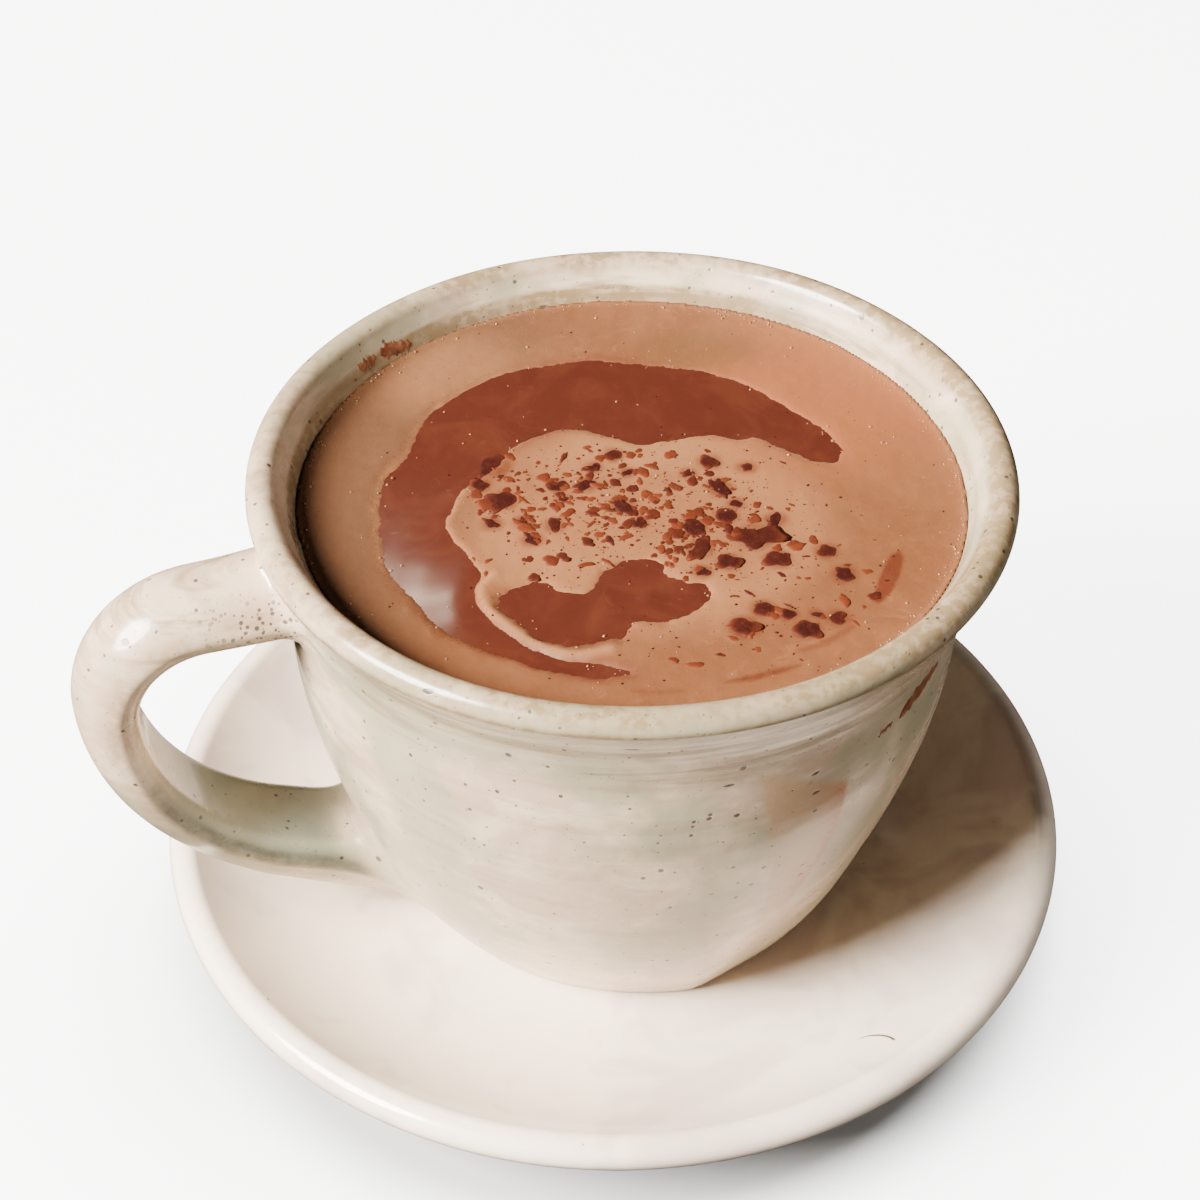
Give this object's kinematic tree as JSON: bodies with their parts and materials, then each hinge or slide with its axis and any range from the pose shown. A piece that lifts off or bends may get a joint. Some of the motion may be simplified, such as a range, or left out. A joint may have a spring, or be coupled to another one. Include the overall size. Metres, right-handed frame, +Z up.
{
  "type": "hot chocolate",
  "caption": "Hot chocolate in a speckled stoneware cup with a strap handle, standing on its saucer.",
  "frame": {"origin": "on the cup's axis, on the surface that the saucer's ring stands on", "axes": "+Z up; the handle points to -X, turned 17 degrees towards -Y; +X is away from the handle"},
  "size_m": [0.1354, 0.1292, 0.0798],
  "materials": {
    "speckled_glaze": "glossy cream stoneware glaze with dark specks",
    "cream_glaze": "glossy smooth cream glaze",
    "chocolate": "milky drink with a thin foam",
    "foam": "fine tan milk foam",
    "dark_chocolate": "dull melted chocolate shavings"
  },
  "bodies": {
    "root": {"cup": "speckled_glaze", "saucer": "cream_glaze", "hot_chocolate": "chocolate"}
  },
  "joints": []
}
